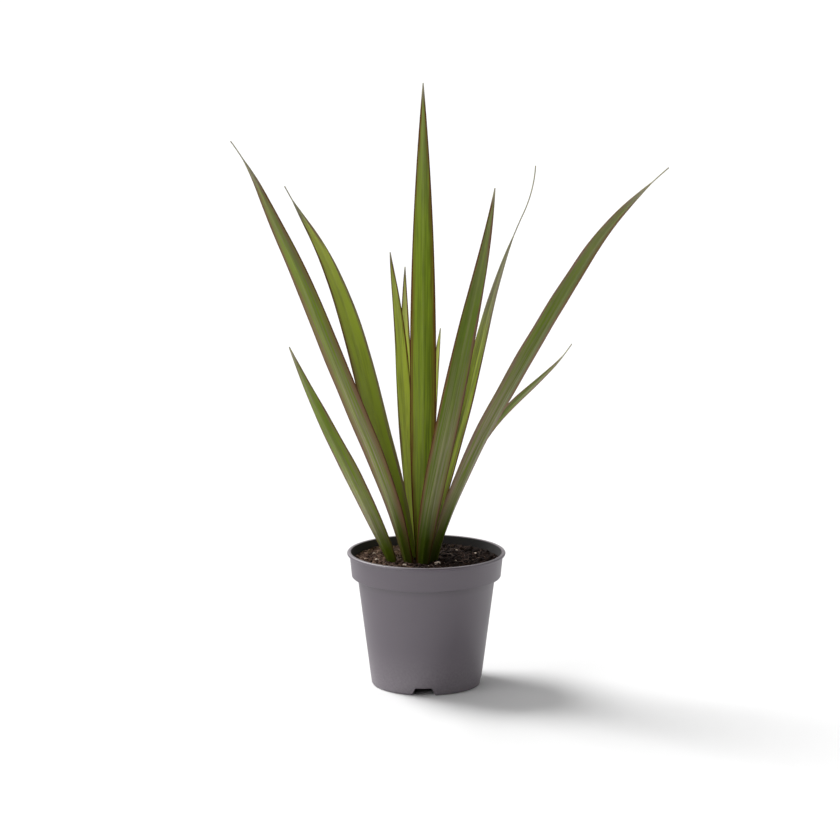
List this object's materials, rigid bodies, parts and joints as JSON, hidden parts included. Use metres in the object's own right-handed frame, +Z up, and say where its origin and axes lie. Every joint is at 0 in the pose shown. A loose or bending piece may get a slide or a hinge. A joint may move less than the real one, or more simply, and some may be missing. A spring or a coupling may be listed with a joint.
{
  "type": "potted dragon tree",
  "caption": "Young dragon tree house plant: tall narrow sword leaves fanning out of the soil of a round tapered nursery pot with a lip band and a notched foot.",
  "frame": {"origin": "the pot's axis at the surface that the pot stands on, in the middle of the pot's centre foot", "axes": "+Z up along the pot's axis; the front of the picture is -Y and its right is +X"},
  "size_m": [0.3193, 0.2265, 0.4609],
  "materials": {
    "pot_plastic": "satin moulded plastic, taupe grey",
    "potting_soil": "matt moist peat and bark crumb, dark brown",
    "crown_bark": "matt young bark, brown",
    "leaf": "satin leathery leaf, green with thin maroon margins"
  },
  "bodies": {
    "root": {"pot": "pot_plastic", "soil": "potting_soil", "crown": "crown_bark", "leaf_left_long": "leaf", "leaf_left_back": "leaf", "leaf_left_short": "leaf", "leaf_centre": "leaf", "leaf_front": "leaf", "leaf_right_thin": "leaf", "leaf_right_long": "leaf", "leaf_right_short": "leaf", "leaf_back_left": "leaf", "leaf_back_middle": "leaf", "leaf_back_right": "leaf"}
  },
  "joints": []
}
